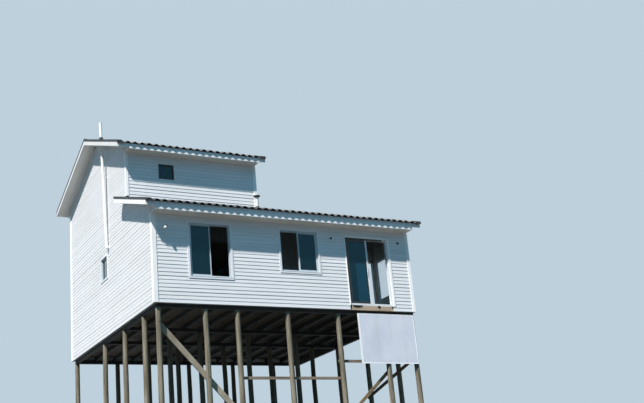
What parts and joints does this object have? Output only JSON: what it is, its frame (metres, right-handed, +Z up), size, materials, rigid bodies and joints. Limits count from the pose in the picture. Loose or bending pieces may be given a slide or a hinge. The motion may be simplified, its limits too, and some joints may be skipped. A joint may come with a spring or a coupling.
{
  "type": "stilt house",
  "caption": "White timber house on tall round poles, raised storey at one end, lean-to and gable roofs of waved sheet, glazed sliding door that slides.",
  "frame": {"origin": "on the ground under the middle of the roof outline in plan", "axes": "+Z up; the front wall faces -Y; +X runs right along the front"},
  "size_m": [8.79, 8.486, 9.7996],
  "materials": {
    "pole_timber": "weathered, dry",
    "dark_timber": "rough",
    "floor_boards": "rough",
    "bare_board": "bare, dry",
    "white_cladding": "painted, satin",
    "white_boards": "painted, satin",
    "window_metal": "satin",
    "door_metal": "satin",
    "dark_glass": "clear",
    "roof_timber": "rough",
    "roof_sheet": "matt",
    "pipe_plastic": "matt",
    "flue_metal": "matt",
    "sign_face": "matt"
  },
  "bodies": {
    "house": {"poles_front": "pole_timber", "poles_sides": "pole_timber", "poles_inner": "pole_timber", "pole_beams": "dark_timber", "cross_beams": "dark_timber", "floor_joists": "dark_timber", "floor_deck": "floor_boards", "terrace_rim": "white_boards", "front_sill_board": "bare_board", "diagonal_brace": "bare_board", "pole_rails": "bare_board", "right_braces": "bare_board", "front_wall_left": "white_cladding", "front_wall_over_door": "white_cladding", "front_wall_right": "white_cladding", "left_wall": "white_cladding", "right_end_wall": "white_cladding", "wing_back_wall": "white_cladding", "raised_front_wall": "white_cladding", "raised_right_wall": "white_cladding", "back_wall": "white_cladding", "storey_floor": "floor_boards", "corner_boards": "white_boards", "window_trims": "white_boards", "window_frames": "window_metal", "window_sashes": "window_metal", "window_glass": "dark_glass", "door_frame": "door_metal", "door_fixed_leaf": "door_metal", "door_fixed_glass": "dark_glass", "low_rafters": "roof_timber", "low_purlins": "roof_timber", "low_eave_boards": "white_boards", "low_roof_sheets": "roof_sheet", "high_rafters": "roof_timber", "high_purlins": "roof_timber", "high_eave_boards": "white_boards", "high_roof_front_sheets": "roof_sheet", "high_roof_back_sheets": "roof_sheet", "ridge_cap": "roof_sheet", "vent_pipe": "pipe_plastic", "flue": "flue_metal", "sign_board": "sign_face"},
    "door_leaf": {"door_sliding_leaf": "door_metal", "door_sliding_glass": "dark_glass"}
  },
  "joints": [
    {"name": "door_slide", "type": "slide", "parent": "house", "child": "door_leaf", "axis": [1, 0, 0], "range_m": [0, 0.653]}
  ]
}
